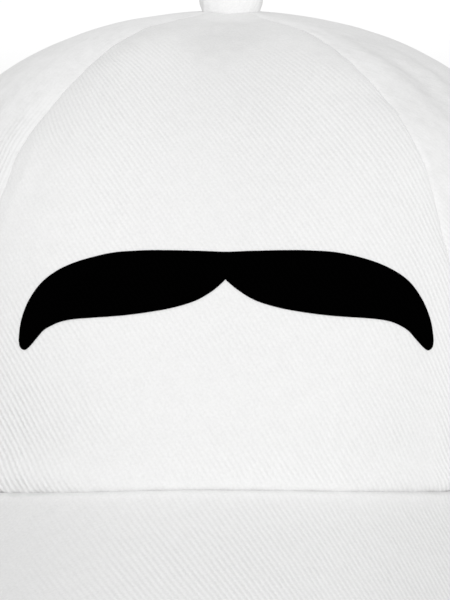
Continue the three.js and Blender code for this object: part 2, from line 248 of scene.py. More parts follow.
def crown_relief(az, up, low, d_first, d_last, first_over, last_over):
    """Millimetres that the cloth stands out of the smooth crown."""
    p = smooth_crown(az, up)
    radius = np.hypot(p[..., 0], p[..., 1] - TOP_SHIFT)
    held = smoothstep(radius, BUTTON_RADIUS - 1, BUTTON_RADIUS + 18)
    total = fold_depth(az, up, radius)
    rate = np.linalg.norm(smooth_crown(az, low + .01) - smooth_crown(az, low), axis=-1) / .01
    h = (up - low) * rate
    total += .16 * wave_sum(p, SLACK) * smoothstep(h, 2, 25) * held
    total += .018 * wave_sum(p, CRINKLE) * smoothstep(h, 1, 8)
    right_front = np.abs(az / DEG - SEAM["front_right"]) < 30
    total += (seam_over if first_over else seam_under)(d_first, np.where(right_front, 1.0, 2.8)) * held
    total += (seam_over if last_over else seam_under)(d_last, np.where(right_front, 1.7, 2.8)) * held
    total -= .12 * wave_sum(p, CRINKLE) * np.exp(-(np.minimum(d_first, d_last) / 2.2) ** 2) * held * smoothstep(h, 8, 20)
    for ups, azs, deep, wide in CREASES:
        off = (az / DEG - np.interp(up, ups, azs)) * DEG * radius
        total += deep * np.exp(-(off / wide) ** 2) * smoothstep(up, ups[0] - .03, ups[0] + .02) * (1 - smoothstep(up, ups[-1] - .02, ups[-1] + .03))
    # the lower edge: rolled in over the peak, a plain turned hem elsewhere
    at_peak = 1 - smoothstep(np.abs(az) / DEG, 56, 62)
    ends = smoothstep(np.abs(az + 2 * DEG) / DEG, 12, 32)
    wide = 1.3 + 1.6 * ends + 1.4 * smoothstep(-az / DEG, 10, 34)
    k = np.clip(1 - h / wide, 0, 1)
    tuck = .62 + .10 * np.exp(-((az / DEG + 3) / 9) ** 2) + .50 * ends + .30 * smoothstep(np.abs(az + 1 * DEG) / DEG, 22, 36)
    tuck = (tuck - .06 * smoothstep(-az / DEG, 28, 34)) * (1 + .09 * wave_sum(p, PUCKER))
    roll = -tuck * k ** 2.2 + .30 * np.exp(-((h - wide - 1.2) / 2.2) ** 2)
    k = np.clip(1 - h / .8, 0, 1)
    hem = -.6 * (1 - np.sqrt(np.maximum(0, 1 - k * k))) + .28 * (1 - smoothstep(h, 8.2, 9.6))
    return total + at_peak * roll + (1 - at_peak) * hem


def meeting_shift(az):
    return np.interp(az / DEG, *np.array(MEETING).T)


def seam_wander(az, up):
    more = 0
    for name, rows in SEAM_WANDER.items():
        ups, turns = np.array(rows).T
        turn = sum(np.interp(up + k, ups, turns) for k in (-.012, 0, .012)) / 3
        more = more + turn * np.exp(-((az / DEG - SEAM[name]) / 14) ** 2)
    return more * DEG


def meeting_painted_shadow(az):
    """Painted shadow along the line where the crown meets the peak: more at its ends, and uneven."""
    a = az / DEG
    ends = .035 * smoothstep(np.abs(a + 1), 20, 31) + .045 * smoothstep(-a, 22, 30)
    return (.028 + ends) * np.clip(1 + .4 * wave_sum(smooth_crown(az, 0 * az), PUCKER), 0, 2)


def bilinear(grid, x, y):
    """Values between the points of a grid, x and y counted in its steps."""
    x = np.clip(x, 0, grid.shape[0] - 1.001)
    y = np.clip(y, 0, grid.shape[1] - 1.001)
    i, j = x.astype(int), y.astype(int)
    a, b = x - i, y - j
    return (grid[i, j] * (1 - a) * (1 - b) + grid[i + 1, j] * a * (1 - b)
            + grid[i, j + 1] * (1 - a) * b + grid[i + 1, j + 1] * a * b)


def flat_cloth(az, up, first, last, start=60):
    """A panel laid flat: millimetres across from its middle, or from one edge, and up from its lower edge."""
    azs, ups = np.linspace(first, last, 121), np.linspace(0, .998, 500)
    pts = smooth_crown(azs[:, None], ups[None])
    arc = np.concatenate([np.zeros((121, 1)), np.cumsum(np.linalg.norm(np.diff(pts, axis=1), axis=-1), 1)], 1)
    vs = np.linspace(0, arc.max(), 400)
    level = np.stack([np.stack([np.interp(vs, arc[k], pts[k, :, c]) for c in range(3)], -1) for k in range(121)])
    run = np.concatenate([np.zeros((1, 400)), np.cumsum(np.linalg.norm(np.diff(level, axis=0), axis=-1), 0)])
    run = run - run[start]
    x = (az - first) / (last - first) * 120
    v = bilinear(arc, x, up / .998 * 499)
    return bilinear(run, x, v / arc.max() * 399), v


# ribs counted across a pulled cloth: factors of powers of its two directions
FRONT_PULL = {(0, 1): 43.07, (0, 2): 1.985, (0, 3): -.675, (0, 4): -.234, (1, 0): 33.906, (1, 1): 6.486, (1, 2): -8.866,
              (1, 3): 4.003, (2, 0): 1.603, (2, 1): -.981, (2, 2): -1.347, (3, 0): -.486, (3, 1): .337, (4, 0): .503}
PEAK_PULL = {(0, 1): 7.953, (0, 2): -.169, (0, 3): .183, (1, 0): 33.671, (1, 1): .089, (1, 2): .313, (2, 0): 1.32,
             (2, 1): -.36, (3, 0): 1.78}

# logarithm of how clearly their ribs show, in the same directions
FRONT_CLEAR = {(0, 0): -.906, (0, 1): -.475, (0, 2): -.01, (0, 3): 2.008, (0, 4): 1.062, (0, 5): -1.819, (1, 0): 1.089,
               (1, 1): -1.377, (1, 2): 1.505, (1, 3): -.449, (1, 4): -.674, (2, 0): 1.791, (2, 1): 1.115, (2, 2): -1.644,
               (2, 3): .435, (3, 0): -3.46, (3, 1): 2.932, (3, 2): -.128, (4, 0): -.313, (4, 1): -2.489, (5, 0): 1.82}
PEAK_CLEAR = {(0, 0): .27, (0, 1): -.367, (0, 2): -.437, (1, 0): .41, (1, 1): .381, (1, 2): -.564, (2, 0): -1.133,
              (2, 1): .472, (3, 0): .699}

# spots of the front where the ribs show more (+) or less (-): across, up, reach across and up, how much
FRONT_SPOTS = [
    (-3, 73, 7, 21, -.48), (-23, 69, 6, 13, .53), (-41, 72, 7, 16, -.62), (-22, 18, 19, 6, .55), (-6, 24, 13, 10, -.81),
    (-33, 6, 21, 4, -1.04), (3, 5, 22, 5, .61), (23, 21, 6, 7, -.51), (-2, 36, 13, 7, .8), (-41, 89, 8, 9, .92),
    (7, 88, 11, 14, .28), (-49, 22, 9, 11, .51), (-53, 39, 7, 11, .85), (54, 12, 6, 14, -.65), (49, 7.5, 9, 2.4, -.6),
    (-40, 1, 16, 1.7, .8), (46, 14, 5, 17, .4), (51, 37, 6, 8, -.22),
]
# the same on the peak: right, forward of the rim's middle, reaches, how much
PEAK_SPOTS = [(25, 138, 24, 14, .35), (-48, 125, 12, 40, .5), (-24, 128, 10, 26, .22), (48, 97, 13, 10, .32),
              (27, 106, 12, 8, .22)]


def pulled(u, v, factors):
    return sum(f * u ** i * v ** j for (i, j), f in factors.items())


def cloth_map(az, up, first, last, rib_angle, rib_step, mirror=1, pull=None, start=60):
    """Ribs counted across and along for each point."""
    u, v = flat_cloth(az, up, first, last, start)
    flat = ribs(u * mirror, v, rib_angle, rib_step)
    if pull:
        flat[..., 0] = pulled(u / 50, v / 100, pull)
    return flat


def ribs(u, v, rib_angle, rib_step):
    c, s = math.cos(rib_angle * DEG), math.sin(rib_angle * DEG)
    return np.stack([(u + v * c / s) / rib_step, (v * s - u * c) / rib_step], -1)


# ---- meshes -------------------------------------------------------------------
def make_mesh(name, points, faces, cloth, bake, material, sharp=50, nap=None, painted_shading=None, uneven=None):
    mesh = bpy.data.meshes.new(name)
    mesh.from_pydata(np.asarray(points).reshape(-1, 3).tolist(), [], [list(f) for f in faces])
    for title, uv in (("OFBake", bake), ("cloth", cloth)):
        layer = mesh.uv_layers.new(name=title)
        layer.data.foreach_set("uv", np.asarray(uv, np.float32).ravel())
    # how clearly the weave shows at each point, how much lighter or darker its colour is painted there to stand for
    # light and shade, and how blotchy
    for title, values, plain in (("nap", nap, 1.0), ("painted_shading", painted_shading, 0.0), ("uneven", uneven, 0.0)):
        layer = mesh.attributes.new(title, "FLOAT", "POINT")
        values = np.full(len(mesh.vertices), plain) if values is None else np.asarray(values)
        layer.data.foreach_set("value", values.astype(np.float32).ravel())
    mesh.polygons.foreach_set("use_smooth", np.ones(len(mesh.polygons), bool))
    mesh.update()
    mesh.set_sharp_from_angle(angle=sharp * DEG)
    mesh.materials.append(material)
    obj = bpy.data.objects.new(name, mesh)
    bpy.context.scene.collection.objects.link(obj)
    return obj


def shell(name, outer, inner, cloth, material, nap=None, painted_shading=None, uneven=None):
    """A closed wall from two grids of points, outer[i, j] and inner[i, j]."""
    ni, nj = outer.shape[0] - 1, outer.shape[1] - 1
    ids = np.arange((ni + 1) * (nj + 1)).reshape(ni + 1, nj + 1)
    back = ids + ids.size
    i, j = np.meshgrid(np.arange(ni + 1) / ni, np.arange(nj + 1) / nj, indexing="ij")
    faces, cl, bk = [], [], []

    def put(a, b, c, d, charts):
        faces.append(np.stack([a, b, c, d], -1).reshape(-1, 4))
        flat = np.concatenate([cloth.reshape(-1, 2), cloth.reshape(-1, 2)])
        cl.append(flat[faces[-1]].reshape(-1, 2))
        bk.append(np.stack(charts, -2).reshape(-1, 2))

    def spot(x, y, x0, x1, y0, y1):
        return np.stack([x0 + (x1 - x0) * x, y0 + (y1 - y0) * y], -1)

    face = spot(i, j, .012, .488, .012, .988)
    put(ids[:-1, :-1], ids[1:, :-1], ids[1:, 1:], ids[:-1, 1:], [face[:-1, :-1], face[1:, :-1], face[1:, 1:], face[:-1, 1:]])
    face = spot(i, j, .988, .512, .012, .988)
    put(back[:-1, :-1], back[:-1, 1:], back[1:, 1:], back[1:, :-1], [face[:-1, :-1], face[:-1, 1:], face[1:, 1:], face[1:, :-1]])
    t, zero, one = i[:, 0], np.zeros(ni + 1), np.ones(ni + 1)
    lo, hi = spot(t, zero, .012, .488, 0, .006), spot(t, one, .012, .488, 0, .006)
    put(back[:-1, 0], back[1:, 0], ids[1:, 0], ids[:-1, 0], [lo[:-1], lo[1:], hi[1:], hi[:-1]])
    lo, hi = spot(t, zero, .512, .988, 0, .006), spot(t, one, .512, .988, 0, .006)
    put(ids[:-1, nj], ids[1:, nj], back[1:, nj], back[:-1, nj], [lo[:-1], lo[1:], hi[1:], hi[:-1]])
    t, zero, one = j[0], np.zeros(nj + 1), np.ones(nj + 1)
    lo, hi = spot(zero, t, 0, .006, .012, .988), spot(one, t, 0, .006, .012, .988)
    put(ids[0, :-1], ids[0, 1:], back[0, 1:], back[0, :-1], [lo[:-1], lo[1:], hi[1:], hi[:-1]])
    lo, hi = spot(zero, t, .994, 1, .012, .988), spot(one, t, .994, 1, .012, .988)
    put(back[ni, :-1], back[ni, 1:], ids[ni, 1:], ids[ni, :-1], [lo[:-1], lo[1:], hi[1:], hi[:-1]])
    points = np.concatenate([outer.reshape(-1, 3), inner.reshape(-1, 3)])
    twice = lambda values: None if values is None else np.concatenate([values.ravel(), values.ravel()])
    return make_mesh(name, rested(points), np.concatenate(faces), np.concatenate(cl), np.concatenate(bk), material,
                     nap=twice(nap), painted_shading=twice(painted_shading), uneven=twice(uneven))


def panel_columns(first_az, last_az, rows_up, inner_count, edge_count=13, edge=7.0):
    """Azimuths of a panel's grid: crowded within a few millimetres of both seams."""
    mid = (first_az + last_az) / 2
    p = smooth_crown(np.full_like(rows_up, mid), rows_up)
    r = np.hypot(p[:, 0], p[:, 1] - TOP_SHIFT)
    wide = (last_az - first_az) * r
    zone = np.minimum(edge, .2 * wide)
    e = np.linspace(0, 1, edge_count) ** 1.8
    inner = np.linspace(0, 1, inner_count + 2)[1:-1]
    d = np.concatenate([zone[None] * e[:, None],
                        zone[None] + (wide - 2 * zone)[None] * inner[:, None],
                        wide[None] - zone[None] * e[::-1, None]])
    return first_az + d / r[None]


def hem_rows(count):
    """Shares up a panel: crowded in the lowest eight millimetres."""
    low = np.linspace(0, 1, 15)[:-1] ** 1.4 * 8 / ARC
    return np.concatenate([low, np.linspace(8 / ARC, 1, count)])


def arch_edge(az):
    off = np.abs(np.abs(az) / DEG - 180) / ARCH_HALF_AZ
    return np.where(off < 1, ARCH_UP * np.sqrt(np.maximum(0, 1 - off * off)), 0)


def crown_panel(name, first, last, over, material, rib_angle, rib_step, mirror=1, arch=None, pull=None, start=60):
    first, last = first * DEG, last * DEG
    rows = hem_rows(104)
    if arch is None:
        az = panel_columns(first, last, rows * .975, 112)
        low = np.zeros_like(az)
    else:
        seam = np.array([.1, .22, .38, .6, .9, 1.3, 1.8])
        opening = ARCH_HALF_AZ * np.sin(np.linspace(0, np.pi / 2, 40))
        rest = np.linspace(ARCH_HALF_AZ, abs(last - first) / DEG, 48)[1:]
        off = np.unique(np.round(np.concatenate([seam, opening, rest, abs(last - first) / DEG - seam]), 6))
        columns = (first + off * DEG) if arch == "first" else (last - off[::-1] * DEG)
        az = np.repeat(columns[:, None], len(rows), 1)
        low = arch_edge(az)
    tip = tip_up(az)
    up = low + (tip - low) * rows[None]
    p = smooth_crown(az, up)
    radius = np.hypot(p[..., 0], p[..., 1] - TOP_SHIFT)
    keep = .006 / radius
    az = np.clip(az, first + keep, last - keep)
    out = crown_relief(az, up, low, (az - first) * radius, (last - az) * radius, *over)
    there = az + seam_wander(az, up)
    p, n = smooth_crown(there, up), crown_normal(there, up)
    # over the peak the hem comes down on to it
    on_peak = (1 - smoothstep(np.abs(az) / DEG, 56, 62)) * (1 - smoothstep((up - low) * ARC, 0, 6))
    p[..., 2] += (meeting_shift(az) - GAP + .02) * on_peak
    outer = p + n * out[..., None]
    inner = p + n * (out - WALL)[..., None]
    inner[:, 0, 2] = np.where(low[:, 0] < 1e-6, outer[:, 0, 2], inner[:, 0, 2])
    cloth = cloth_map(az, up, first, last, rib_angle, rib_step, mirror, pull, start)
    d = np.minimum(az - first, last - az) * radius
    if pull:
        flat = flat_top(az, up, .035)
        clear, uneven = front_clarity(*flat_cloth(az, up, first, last)) * (1 - .97 * flat), .4 * flat
    else:
        clear, uneven = side_clarity(az, up), upper_side(az, up)
    # the ribs close up in the rolled edge over the peak; shadow is painted along its lower edge, more at its ends, with
    # a faint painted light just above
    height = (up - low) * ARC
    at_peak = 1 - smoothstep(np.abs(az) / DEG, 50, 60)
    middle = 1 - .7 * smoothstep(np.abs(az + 2 * DEG) / DEG, 12, 24)
    clear = clear * (1 - .6 * np.exp(-(d / .8) ** 2)) * (1 - .85 * at_peak * middle * np.exp(-(height / 2.1) ** 4))
    # painted light and shade over the crown, and painted shadow along its lower edge over the peak
    painted_shading = crown_painted_shading(az, up) - at_peak * meeting_painted_shadow(az) * np.exp(-(height / .65) ** 2)
    painted_shading = painted_shading + .010 * at_peak * middle * np.exp(-((height - 1.5) / .9) ** 2)
    return shell(name, outer, inner, cloth, material, clear, painted_shading, uneven)


def front_clarity(u, v):
    """How clearly the front's ribs show, millimetres across and up the flat cloth."""
    clear = pulled(u / 50, v / 100, FRONT_CLEAR)
    for across, high, wide, tall, more in FRONT_SPOTS:
        clear = clear + more * np.exp(-((u - across) / wide) ** 2 - ((v - high) / tall) ** 2)
    return np.clip(np.exp(clear), .2, 2.5)


def upper_side(az, up):
    return (1 - smoothstep(np.abs(az) / DEG, 60, 85)) * smoothstep(up, .40, .52)


def side_clarity(az, up):
    """Faint on the upper sides, but for a strip beside the left seam."""
    a = az / DEG
    beside = np.exp(-((a + 43.0) / 3.5) ** 2) * np.exp(-((up - .55) / .085) ** 2)
    return 1 - .85 * upper_side(az, up) + 1.7 * beside


def flat_top(az, up, soft):
    """The hollow before the button, where the ribs lie flat and faint."""
    edge = np.interp(az / DEG, (-42, -31, -22, -14, -7, -1, 5, 14.5, 22, 26, 30, 36),
                     (.80, .80, .785, .722, .666, .660, .708, .772, .782, .742, .71, .68))
    edge = edge + .008 * wave_sum(smooth_crown(az, up), SLACK)
    return smoothstep(up, edge - .4 * soft, edge + soft) * (1 - smoothstep(np.abs(az) / DEG, 36, 42))


def crown_painted_shading(az, up):
    """Painted shade in the hollow before the button and in two bands, painted light on the sides and by the button."""
    a = az / DEG
    left = smoothstep(a, -80, -55) * (1 - smoothstep(a, -39.9, -39.6)) * smoothstep(up, .35, .6)
    outer = smoothstep(-a, 41, 48) * (1 - smoothstep(-a, 70, 85)) * np.exp(-((up - .60) / .10) ** 2)
    shoulder = np.exp(-((a + 27) / 9) ** 2 - ((up - .75) / .06) ** 2)
    hollow_shade = flat_top(az, up, .09) * (.6 + .4 * smoothstep(up, .70, .80)) * (1 - smoothstep(up, .80, .90)) * (1 - .8 * smoothstep(a, 14, 24))
    high_left = smoothstep(-a, 55, 75) * smoothstep(up, .76, .84)
    high_right = smoothstep(a, 34.8, 35.1) * smoothstep(up, .66, .78) * (.042 - .038 * smoothstep(a, 40, 50))
    right = smoothstep(a, 27, 34) * (1 - smoothstep(a, 60, 80)) * (1 - smoothstep(up, .50, .66))
    low_left = smoothstep(-a, 30, 38) * (1 - smoothstep(-a, 60, 80)) * (1 - smoothstep(up, .3, .5))
    path = np.interp(up, (.64, .70, .74, .80, .86), (50, 48.5, 49.5, 51.5, 54.5))
    band = .5 * np.exp(-((a - path) / 3.4) ** 2) * (1 + .45 * wave_sum(smooth_crown(az, up), CRINKLE))
    band = (band + .5 * smoothstep(a - path, -4, 2) * (1 - smoothstep(a, 70, 84))) * smoothstep(up, .60, .68) * (1 - smoothstep(up, .82, .90))
    # painted light (+) and painted shade (-), added to the cloth's colour
    return (-.045 * hollow_shade + .022 * smoothstep(up, .82, .92) + .06 * left + .035 * high_left + high_right - .055 * outer
            + .028 * right + .005 * low_left + .03 * shoulder - .034 * band)


def peak_piece(name, material):
    turn = np.sin(np.linspace(-1, 1, 171) * np.pi / 2) * .5 + np.linspace(-1, 1, 171) * .5
    az, r = turn * CORNER_AZ, rim_radius(turn * CORNER_AZ)
    rim = np.stack([r * np.sin(az), -r * np.cos(az)], -1)
    ex, ey = peak_edge(turn)
    way = np.stack([ex, ey], -1) - rim
    length = np.maximum(np.linalg.norm(way, axis=-1), 1.2)
    way = np.where(np.linalg.norm(way, axis=-1, keepdims=True) > .5, way, rim / r[:, None])
    way = way / np.linalg.norm(way, axis=-1, keepdims=True)
    half = PEAK_THICK / 2
    rad = np.minimum(half, .42 * length)
    reach = np.concatenate([np.linspace(0, 1, 12)[:-1] ** 1.5 * .08, np.linspace(.08, 1, 58)])
    d = reach[None] * (length - rad)[:, None]
    section, flat = [], []

    def face(dist, side):
        xy = rim[:, None] + way[:, None] * dist[..., None]
        x, y = xy[..., 0], xy[..., 1]
        inside = np.minimum(dist, 0)
        z = peak_height(x - way[:, None, 0] * inside, y - way[:, None, 1] * inside) - GAP
        n = peak_normal(x, y)
        mid = np.stack([x, y, z], -1) - half * n
        lift = np.zeros_like(x)
        if side > 0:
            mid[..., 2] += meeting_shift(az)[:, None] * (1 - smoothstep(dist, 0, 9))
            q = np.stack([x, y, z], -1)
            lift = .35 * np.exp(-(dist / 2.6) ** 2) + .45 * np.exp(-(dist / 5.0) ** 2) - .45 * (1 - smoothstep(dist, 10, 45)) - .13 * np.exp(-(dist / .75) ** 2) + .10 * wave_sum(q, SLACK) * smoothstep(dist, 3, 20)
            lift = lift + .012 * wave_sum(q, CRINKLE) - .10 * np.exp(-((length[:, None] - dist - 4.2) / .7) ** 2) * smoothstep(length[:, None], 8, 16)
        return mid + n * (side * half + lift)[..., None], np.stack([x, y], -1)

    inner = np.full((len(turn), 1), -WALL + .15)
    top, top_xy = face(np.concatenate([inner, d], 1), 1)
    low, low_xy = face(np.concatenate([inner, d], 1), -1)
    edge_xy = rim + way * (length - rad)[:, None]
    n = peak_normal(edge_xy[:, 0], edge_xy[:, 1])
    centre = (top[:, -1] + low[:, -1]) / 2
    tall = np.linalg.norm(top[:, -1] - low[:, -1], axis=-1) / 2
    down = (top[:, -1] - top[:, -2])
    down = down / np.linalg.norm(down, axis=-1, keepdims=True)
    arc = np.linspace(np.pi / 2, -np.pi / 2, 11)[1:-1]
    bend = centre[:, None] + n[:, None] * (tall[:, None] * np.sin(arc))[..., None] + down[:, None] * (rad[:, None] * np.cos(arc))[..., None]
    ring = np.concatenate([top, bend, low[:, ::-1]], 1)
    bend_xy = edge_xy[:, None] + way[:, None] * (rad[:, None] * np.cos(arc))[..., None]
    ring_xy = np.concatenate([top_xy, bend_xy, low_xy[:, ::-1]], 1)
    across, around = ring.shape[:2]
    ids = np.arange(across * around).reshape(across, around)
    nxt = np.roll(ids, -1, axis=1)
    faces = np.stack([ids[:-1], nxt[:-1], nxt[1:], ids[1:]], -1).reshape(-1, 4)
    cloth_v = ribs(ring_xy[..., 0], ring_xy[..., 1] * 1.07, 69, 1.5)
    cloth_v[..., 0] = pulled(ring_xy[..., 0] / 50, (ring_xy[..., 1] + 120) / 30, PEAK_PULL)
    corner = cloth_v.reshape(-1, 2)[faces]
    s = np.linspace(.01, .99, across)
    t = np.linspace(.01, .99, around + 1)
    bake = np.stack([
        np.stack(np.meshgrid(s[:-1], t[:-1], indexing="ij"), -1), np.stack(np.meshgrid(s[:-1], t[1:], indexing="ij"), -1),
        np.stack(np.meshgrid(s[1:], t[1:], indexing="ij"), -1), np.stack(np.meshgrid(s[1:], t[:-1], indexing="ij"), -1)], -2)
    quads = [list(f) for f in faces]
    cloth_uv, bake_uv = [corner.reshape(-1, 2)], [bake.reshape(-1, 2)]
    for end, order in ((0, 1), (across - 1, -1)):
        loop = ids[end][::order]
        mid = len(loop)
        quads.append(list(loop))
        cloth_uv.append(cloth_v.reshape(-1, 2)[loop])
        a = np.linspace(0, 2 * np.pi, mid, endpoint=False)
        bake_uv.append(np.stack([.004 + .992 * (end > 0) + .003 * np.cos(a), .5 + .003 * np.sin(a)], -1))
    x, y = np.clip(ring_xy[..., 0] / 50, -1.05, 1.05), (ring_xy[..., 1] + 120) / 30
    clear = pulled(x, np.clip(y, -.5, .9), PEAK_CLEAR) + .03
    for right, forward, wide, long, more in PEAK_SPOTS:
        clear = clear + more * np.exp(-((ring_xy[..., 0] - right) / wide) ** 2 - ((-ring_xy[..., 1] - forward) / long) ** 2)
    nap = np.clip(np.exp(clear), .12, 1.9)
    nap = nap + (1 - nap) * smoothstep(-y, .6, 1.2)
    # painted shade on the peak's two ends, left more than right, and slight painted light over the rest
    painted_shading = .018 - .066 * (1 - smoothstep(ring_xy[..., 0], -60, -14)) - .045 * smoothstep(ring_xy[..., 0], 20, 50)
    near = np.linalg.norm(ring_xy - rim[:, None], axis=-1)
    nap = nap * (1 - .7 * np.exp(-(near / 3.2) ** 2))
    # a strip of painted light just in front of the crown, slight painted shade further out, and painted shadow along
    # the line where the crown meets the peak
    painted_shading = painted_shading + .025 * np.exp(-((near - 1.6) / 1.4) ** 2) - .005 * smoothstep(near, 12, 30)
    painted_shading = painted_shading - meeting_painted_shadow(az)[:, None] * np.exp(-(near / .9) ** 2)
    return make_mesh(name, rested(ring.reshape(-1, 3)), quads, np.concatenate(cloth_uv), np.concatenate(bake_uv), material,
                     nap=nap, painted_shading=painted_shading)


def turned_piece(name, outline, segments, material, relief=None):
    """A solid turned about the crown's top axis from (radius, height) rows."""
    r, h = np.array(outline, float).T
    a = np.linspace(0, 2 * np.pi, segments, endpoint=False)
    rr = r[:, None] * np.ones(segments)[None]
    hh = h[:, None] * np.ones(segments)[None]
    if relief is not None:
        rr, hh = relief(rr, hh, a[None])
    pts = np.stack([rr * np.cos(a) + .5, rr * np.sin(a) + TOP_SHIFT, hh + CROWN_TOP], -1)
    rows = len(r)
    ids = np.arange(rows * segments).reshape(rows, segments)
    nxt = np.roll(ids, -1, axis=1)
    faces = np.stack([ids[:-1], nxt[:-1], nxt[1:], ids[1:]], -1).reshape(-1, 4)
    flat = ribs(pts[..., 0], pts[..., 1] + (hh - h.max()) * -1.2, 60, 1.5)
    cloth = flat.reshape(-1, 2)[faces].reshape(-1, 2)
    s, t = np.linspace(.01, .99, segments + 1), np.linspace(.06, .99, rows)
    g = lambda x, y: np.stack(np.meshgrid(y, x, indexing="ij")[::-1], -1)
    bake = np.stack([g(s[:-1], t[:-1]), g(s[1:], t[:-1]), g(s[1:], t[1:]), g(s[:-1], t[1:])], -2).reshape(-1, 2)
    quads = [list(f) for f in faces]
    for ring, order, x in ((ids[0], -1, .02), (ids[-1], 1, .06)):
        loop = ring[::order]
        quads.append(list(loop))
        cloth = np.concatenate([cloth, flat.reshape(-1, 2)[loop]])
        b = np.linspace(0, 2 * np.pi, segments, endpoint=False)
        bake = np.concatenate([bake, np.stack([x + .015 * np.cos(b), .025 + .015 * np.sin(b)], -1)])
    nap = np.full(pts.shape[:2], .2)
    # painted light over the button, painted shade down its left edge and, less, down its right
    painted_shading = .06 - .40 * smoothstep(-pts[..., 0], 6.0, 7.3) - .12 * smoothstep(pts[..., 0], 7.0, 8.5)
    return make_mesh(name, rested(pts.reshape(-1, 3)), quads, cloth, bake, material, nap=nap, painted_shading=painted_shading)


def button_piece(name, material):
    under = -WALL - 1.1
    outline = [(.4, under - 1.2), (7.1, under - 1.2), (7.5, under - 1.0), (7.5, under - .2), (7.2, under), (2.6, under),
               (2.6, .06), (6.2, .04), (6.9, -.08), (7.12, -.06), (7.22, .1), (7.32, .45), (7.45, .9)]
    outline += [(8.0 - .55 * (1 - k) ** 2, .9 + 2.0 * k) for k in np.linspace(0, 1, 9)[1:]]
    for t in np.linspace(0, np.pi / 2, 26)[1:-1]:
        outline.append((8.0 * math.cos(t) ** .85, 2.9 + 3.7 * math.sin(t)))
    outline.append((.25, 6.6))

    def gathers(r, h, a):
        low = smoothstep(h, .1, .6) * (1 - smoothstep(h, 1.2, 4.0))
        pull = .06 * np.sin(13 * a + .6) + .04 * np.sin(22 * a + 1.9) + .05 * np.sin(5 * a)
        # the foot follows the crown's slope, which falls off more to the front
        az = np.angle(np.exp(1j * (a + np.pi / 2))) + np.zeros_like(r)
        fall = CROWN_TOP * (1 - (1 - (r / rim_radius(az)) ** side_mix(az, 0)) ** (1 / side_mix(az, 1)))
        foot = (r > 5) * (h > -.3) * (1 - smoothstep(h, .3, 2.4))
        return r + low * pull * (r > 5), h - (fall + .10) * foot

    return turned_piece(name, outline, 112, material, gathers)


def strap_piece(name, material):
    across, tall = 72, 17
    az = (180 - STRAP["half_az"] + 2 * STRAP["half_az"] * np.linspace(0, 1, across)) * DEG
    t = (1 - np.cos(np.linspace(0, np.pi, tall))) / 2
    up = STRAP["low"] + (STRAP["high"] - STRAP["low"]) * t
    az, up = np.meshgrid(az, up, indexing="ij")
    n, p = crown_normal(az, up), smooth_crown(az, up)
    edge = np.minimum(t, 1 - t) * 19
    k = np.clip(1 - edge / .9, 0, 1)
    thin = .8 * (1 - np.sqrt(np.maximum(0, 1 - k * k)))
    out = -(WALL + GAP + .1)
    soft = .10 * wave_sum(p, CRINKLE) * .3
    outer = p + n * (out - thin[None] + soft)[..., None]
    inner = p + n * (out - STRAP["thick"] + thin[None] + soft)[..., None]
    u = (az - np.pi) * 100
    v = np.broadcast_to(t * 19, u.shape)
    return shell(name, outer, inner, ribs(u, v, 60, 1.5), material)


def table_up(rows, at, start=0):
    """Smooth interpolation in a table of (azimuth, share of the way up), with a given slope at its start."""
    x, y = np.array(rows, float).T
    m = np.full_like(y, start)
    m[1:-1] = (y[2:] - y[:-2]) / (x[2:] - x[:-2])
    m[-1] = (y[-1] - y[-2]) / (x[-1] - x[-2])
    k = np.clip(np.searchsorted(x, at) - 1, 0, len(x) - 2)
    w = x[k + 1] - x[k]
    t = np.clip((at - x[k]) / w, 0, 1)
    return ((2 * t ** 3 - 3 * t ** 2 + 1) * y[k] + (t ** 3 - 2 * t ** 2 + t) * w * m[k]
            + (3 * t ** 2 - 2 * t ** 3) * y[k + 1] + (t ** 3 - t ** 2) * w * m[k + 1])


def print_piece(name, material, rib_angle, rib_step, pull):
    turn = np.linspace(-1, 1, 241)
    off = np.minimum(.9985, np.abs(np.sin(turn * np.pi / 2))) * PRINT_HALF_AZ
    low, high = table_up(PRINT_LOWER, off, -.0098), table_up(PRINT_UPPER, off)
    at, more, less = np.array(PRINT_GIVE).T
    flat_az = PRINT_AZ + np.sign(turn) * off
    low, high = low + .001 * np.interp(flat_az, at, less), high + .001 * (np.interp(flat_az, at, more) + .25)
    high = np.maximum(high, low + .002)
    t = np.linspace(0, 1, 23)
    up = low[:, None] + (high - low)[:, None] * t[None]
    az = np.repeat((flat_az * DEG)[:, None], len(t), 1)
    first, last = SEAM["front_left"] * DEG, SEAM["front_right"] * DEG
    p, n = smooth_crown(az, up), crown_normal(az, up)
    radius = np.hypot(p[..., 0], p[..., 1] - TOP_SHIFT)
    out = crown_relief(az, up, np.zeros_like(up), (az - first) * radius, (last - az) * radius, False, False)
    cloth = cloth_map(az, up, first, last, rib_angle, rib_step, 1, pull)
    return shell(name, p + n * (out + .20)[..., None], p + n * (out + .05)[..., None], cloth, material)


